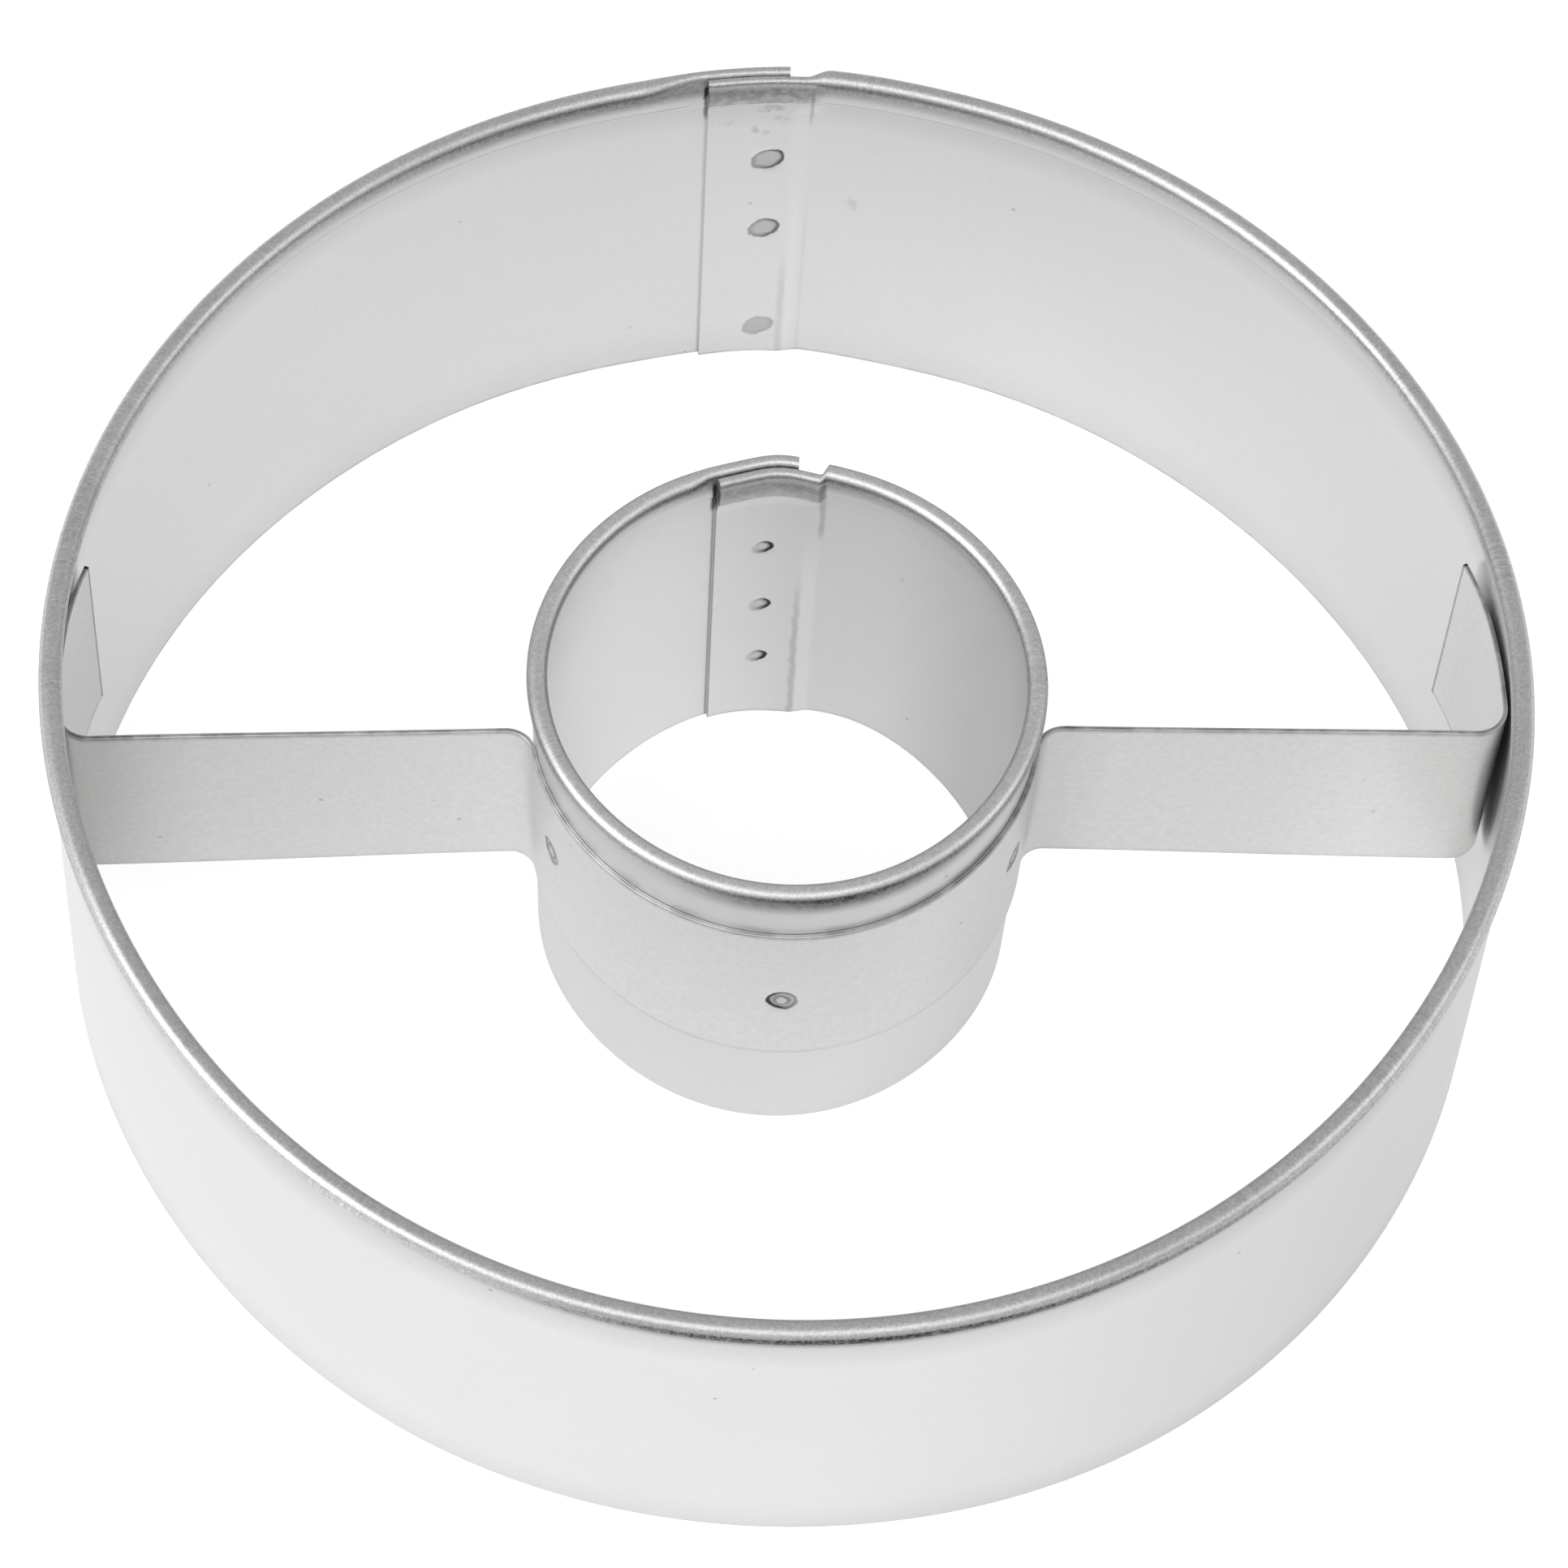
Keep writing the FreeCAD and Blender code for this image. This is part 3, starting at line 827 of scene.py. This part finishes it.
outerMiddle = Vector((0, 0, 0))
outerWelds = ringWelds(outerRingLook, outerMiddle, outerWall)
outerRing = bendStrip(modelTree, "outerRing", ringSections(outerRingLook),
                      ringPath(outerRingLook, outerMiddle, outerWall),
                      outerWelds, tinMaterial("outerRingTin", outerTin, outerWelds))

holeMiddle = Vector((-0.2, -1.2, 0))
holeWelds = ringWelds(holeRingLook, holeMiddle, holeWall)
holeRing = bendStrip(modelTree, "holeRing", ringSections(holeRingLook),
                     ringPath(holeRingLook, holeMiddle, holeWall),
                     holeWelds, tinMaterial("holeRingTin", holeTin, holeWelds))


# Bridge strip: wraps the hole ring's front, with a tab at each end
bridgeLook = {
    "armInnerY": -2.3,
    "armOuterY": -3.0,
    "holeBend": 1.7,
    "wallBend": 1.9,
    "contactEndY": 4.3,
    "freeLength": 5.2,
    "freeRadius": 21.0,
    "station": 0.3,
    "weldAngles": ((-91.4, 6.7), (-156.5, 8.4), (-25.5, 8.4)),
    "weldWide": 2.1,
    "weldTall": 2.4,
    "weldDepth": 0.1,
    "weldCrown": 0.7,
    # Painted light and shade along the strip, by x
    "cast": ((-50, -0.16), (-41, -0.16), (-38, -0.06), (-35, 0.0), (-16, 0.03), (-4, 0.02), (8, -0.03),
             (12, -0.11), (16, -0.15), (20, -0.05), (30, -0.02), (36, 0.06), (41, 0.03), (43, -0.06),
             (50, -0.06)),
    "tabShift": -0.22,  # the +X tab stands off the wall
    "armBlend": (17.0, 41.0),  # from here to here, in x, the strip follows one ring and then the other
}


def bendCentre(start, direction, side, radius, about, reach):
    beside = start + side * radius - about
    ahead = beside.dot(direction)
    run = math.sqrt(reach ** 2 - beside.length ** 2 + ahead ** 2) - ahead
    return start + side * radius + direction * run


def angleOf(vector):
    return math.degrees(math.atan2(vector.y, vector.x))


def halfBridge(holeX, look):
    # Arcs from the front of the hole ring to the +X tab end: centre, radius, two angles
    hole = Vector((holeX, holeMiddle.y, 0))
    t = sheet["thick"]
    wrap = holeWall + t / 2
    tab = outerWall - t - t / 2
    start = Vector((wrap, look["armInnerY"], 0))
    direction = Vector((tab - wrap, look["armOuterY"] - look["armInnerY"], 0)).normalized()
    back = Vector((-direction.y, direction.x, 0))
    holeBend = bendCentre(start, direction, -back, look["holeBend"], hole, wrap + look["holeBend"])
    wallBend = bendCentre(start, direction, back, look["wallBend"], Vector(), tab - look["wallBend"])
    wrapEnd = angleOf(holeBend - hole)
    tabStart = angleOf(wallBend)
    tabEnd = math.degrees(math.asin(look["contactEndY"] / tab))
    freeEnd = tabEnd + math.degrees(look["freeLength"] / look["freeRadius"])
    return [
        (hole, wrap, -90.0, wrapEnd),
        (holeBend, look["holeBend"], wrapEnd + 180.0, angleOf(back)),
        (wallBend, look["wallBend"], angleOf(back) - 180.0, tabStart),
        (Vector(), tab, tabStart, tabEnd),
        (polar(tab - look["freeRadius"], tabEnd), look["freeRadius"], tabEnd, freeEnd),
    ]


def walkArcs(arcs, step):
    # Points and right-hand sides along the arcs and the straight runs between them
    stations = []
    last = None
    for centre, radius, start, end in arcs:
        turn = 1.0 if end > start else -1.0
        first = centre + polar(radius, start)
        if last is not None and (first - last).length > 0.01:
            ahead = (first - last).normalized()
            side = Vector((ahead.y, -ahead.x, 0))
            count = max(2, round((first - last).length / step))
            for i in range(1, count):
                stations.append((last.lerp(first, i / count), side))
        count = max(2, round(math.radians(abs(end - start)) * radius / min(step, radius * 0.12)))
        for i in range(count + 1):
            a = start + (end - start) * i / count
            if i == 0 and stations and (centre + polar(radius, a) - stations[-1][0]).length < 0.02:
                continue
            stations.append((centre + polar(radius, a), polar(turn, a)))
        last = centre + polar(radius, end)
    return stations


def bridgePath(look):
    right = walkArcs(halfBridge(holeMiddle.x, look), look["station"])
    left = walkArcs(halfBridge(-holeMiddle.x, look), look["station"])
    mirrored = [(Vector((-p.x, p.y, 0)), Vector((-s.x, s.y, 0))) for p, s in left]
    stations = mirrored[::-1] + right[1:]
    path = []
    run = 0.0
    before = stations[0][0]
    for spot, side in stations:
        run += (spot - before).length
        before = spot
        path.append({
            "spot": spot,
            "side": side,
            "lap": 0.0,
            "hemLap": 0.0,
            "press": 0.0,
            "along": run,
            "shade": 0.0,
            "castIn": readTable(look["cast"], spot.x),
            "castOut": 0.0,
            "lowShift": bridgeShift(look, "low", spot),
            "highShift": bridgeShift(look, "high", spot),
        })
    return path


def bridgeShift(look, which, spot):
    nearHole = strayAt(holeRingLook, which, angleOf(spot - holeMiddle))
    nearWall = strayAt(outerRingLook, which, angleOf(spot))
    standOff = Vector((look["tabShift"] * ramp(spot.x, 38.0, 42.0), 0, 0))
    return nearHole.lerp(nearWall, ramp(abs(spot.x), *look["armBlend"])) + standOff


def bridgeSections():
    half = sheet["thick"] / 2
    rnd = sheet["edgeRound"]
    low = stripLow.z / mm
    high = stripHigh.z / mm
    points = []
    points += between((half, low + rnd), (half, high - rnd), 44)
    points += bend((half - rnd, high - rnd), rnd, 0.0, 0.5 * math.pi, 4)
    points += between((half - rnd, high), (-half + rnd, high), 2)
    points += bend((-half + rnd, high - rnd), rnd, 0.5 * math.pi, math.pi, 4)
    points += between((-half, high - rnd), (-half, low + rnd), 44)
    points += bend((-half + rnd, low + rnd), rnd, math.pi, 1.5 * math.pi, 4)
    points += between((-half + rnd, low), (half - rnd, low), 2)
    points += bend((half - rnd, low + rnd), rnd, 1.5 * math.pi, 2.0 * math.pi, 4)
    count = len(points)
    return {
        "rolled": points, "outerLap": points, "innerLap": points,
        "faceSide": [-1.0 if i < 45 else 0.0 for i in range(count)],
        # Cut edges darker: bare metal, with painted shade along the top and lower edges
        "cutEdge": [{0: 0.3, 48: 1.2, 49: 1.2}.get(i, 0.65 if 44 <= i < 54 or i >= 98 else 0.0)
                    for i in range(count)],
        "rim": [0.0] * count, "inner": [1.0] * count, "hemPart": [0.0] * count,
    }


def bridgeWelds(look):
    reach = holeWall + sheet["thick"]
    low = stripLow.z / mm
    spots = []
    sides = []
    for a, rise in look["weldAngles"]:
        sides.append(polar(1.0, a))
        share = (low + rise) / rimHeight
        shift = strayAt(holeRingLook, "low", a).lerp(strayAt(holeRingLook, "high", a), share)
        spots.append(holeMiddle + polar(reach, a) + Vector((0, 0, low + rise)) + shift)
    return {"points": spots, "sides": sides, "wide": look["weldWide"], "tall": look["weldTall"],
            "depth": look["weldDepth"], "size": look["weldWide"],
            "stretch": (0.0, look["weldTall"] - look["weldWide"]), "crown": look["weldCrown"]}


stripWelds = bridgeWelds(bridgeLook)
stripPath = bridgePath(bridgeLook)
stripEnds = (0.0, stripPath[-1]["along"])
stripTin["uprights"] = tuple(markAt(end, 0.1, 0.16, -2, 30, 0.4, 0.4, 0.3) for end in stripEnds)
bridgeStrip = bendStrip(modelTree, "bridgeStrip", bridgeSections(), stripPath,
                        stripWelds, tinMaterial("bridgeStripTin", stripTin, stripWelds))

for piece, node in ((outerRing, "outer_ring"), (holeRing, "hole_ring"), (bridgeStrip, "bridge_strip")):
    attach(piece, "root")
    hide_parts(node)
print("metal done")


# Stage, light and camera
stageLook = {
    "floorSize": 3.0,
    "floorGrey": 0.6,
    "floorGlow": 0.75,  # for the camera
    "floorGlowMirrored": 0.465,  # for the metal
    "worldGrey": 0.48,
}


def buildFloor(look):
    mesh = bpy.data.meshes.new("floor")
    half = look["floorSize"] / 2
    corners = [(-half, -half, 0), (half, -half, 0), (half, half, 0), (-half, half, 0)]
    mesh.from_pydata(corners, [], [(0, 1, 2, 3)])
    floor = bpy.data.objects.new("floor", mesh)
    bpy.context.scene.collection.objects.link(floor)
    mat = bpy.data.materials.new("paleFloor")
    mat.use_nodes = True
    tree = mat.node_tree
    tree.nodes.clear()
    matte = addNode(tree, "ShaderNodeBsdfDiffuse", {"Color": (look["floorGrey"],) * 3 + (1,)})
    glow = addNode(tree, "ShaderNodeEmission", {"Color": (1, 1, 1, 1)})
    rays = addNode(tree, "ShaderNodeLightPath").outputs
    mirrored = numberOp(tree, "MAXIMUM", rays["Is Glossy Ray"], rays["Is Transmission Ray"])
    mirrored = numberOp(tree, "MULTIPLY", mirrored, look["floorGlowMirrored"])
    seen = numberOp(tree, "MULTIPLY", rays["Is Camera Ray"], look["floorGlow"])
    tree.links.new(numberOp(tree, "MAXIMUM", seen, mirrored), glow.inputs["Strength"])
    both = addNode(tree, "ShaderNodeAddShader")
    tree.links.new(matte.outputs[0], both.inputs[0])
    tree.links.new(glow.outputs[0], both.inputs[1])
    out = addNode(tree, "ShaderNodeOutputMaterial")
    tree.links.new(both.outputs[0], out.inputs["Surface"])
    mesh.materials.append(mat)


def buildWorld(look):
    world = bpy.data.worlds.new("studio")
    world.use_nodes = True
    tree = world.node_tree
    tree.nodes.clear()
    rays = addNode(tree, "ShaderNodeLightPath").outputs
    grey = addNode(tree, "ShaderNodeBackground", {"Color": (1, 1, 1, 1), "Strength": look["worldGrey"]})
    white = addNode(tree, "ShaderNodeBackground", {"Color": (1, 1, 1, 1), "Strength": 1.0})
    mix = addNode(tree, "ShaderNodeMixShader")
    tree.links.new(rays["Is Camera Ray"], mix.inputs[0])
    tree.links.new(grey.outputs[0], mix.inputs[1])
    tree.links.new(white.outputs[0], mix.inputs[2])
    out = addNode(tree, "ShaderNodeOutputWorld")
    tree.links.new(mix.outputs[0], out.inputs["Surface"])
    bpy.context.scene.world = world


softLamps = {
    "front": {"at": (-0.05, -0.42, 0.66), "size": (0.9, 0.5), "power": 1.3},
    "left": {"at": (-0.55, -0.15, 0.4), "size": (0.5, 0.55), "power": 1.6},
    "right": {"at": (0.65, -0.1, 0.45), "size": (0.4, 0.45), "power": 0.5},
}


def buildLamp(name, look):
    lamp = bpy.data.lights.new(name, "AREA")
    lamp.shape = "RECTANGLE"
    lamp.size, lamp.size_y = look["size"]
    lamp.energy = look["power"]
    holder = bpy.data.objects.new(name, lamp)
    holder.location = look["at"]
    aim = Vector((0, 0, 0.01)) - Vector(look["at"])
    holder.rotation_euler = aim.to_track_quat("-Z", "Y").to_euler()
    bpy.context.scene.collection.objects.link(holder)


cameraLook = {
    "aim": (0.24634, 8.33586),
    "distance": 315.479,
    "elevation": 58.1048,
    "roll": 4.6105,
    "turn": -5.7,
    "lens": 110.837,
}


def buildCamera(look):
    e = math.radians(look["elevation"])
    roll = math.radians(look["roll"])
    place = Vector((*look["aim"], 0)) + look["distance"] * Vector((0, -math.cos(e), math.sin(e)))
    forward = Vector((0, math.cos(e), -math.sin(e)))
    right = Vector((1, 0, 0))
    up = right.cross(forward)
    rolledRight = math.cos(roll) * right + math.sin(roll) * up
    rolledUp = math.cos(roll) * up - math.sin(roll) * right
    turn = Matrix.Rotation(math.radians(look["turn"]), 4, "Z")
    frameMatrix = Matrix((rolledRight, rolledUp, -forward)).transposed().to_4x4()
    frameMatrix.translation = place * mm
    data = bpy.data.cameras.new("camera")
    data.lens = look["lens"]
    data.sensor_width = 36.0
    data.clip_start = 0.01
    camera = bpy.data.objects.new("camera", data)
    camera.matrix_world = turn @ frameMatrix
    bpy.context.scene.collection.objects.link(camera)
    bpy.context.scene.camera = camera


buildFloor(stageLook)
buildWorld(stageLook)
for lampName, lampLook in softLamps.items():
    buildLamp(lampName, lampLook)
buildCamera(cameraLook)
bpy.context.scene.view_settings.view_transform = "Standard"
print("stage done")
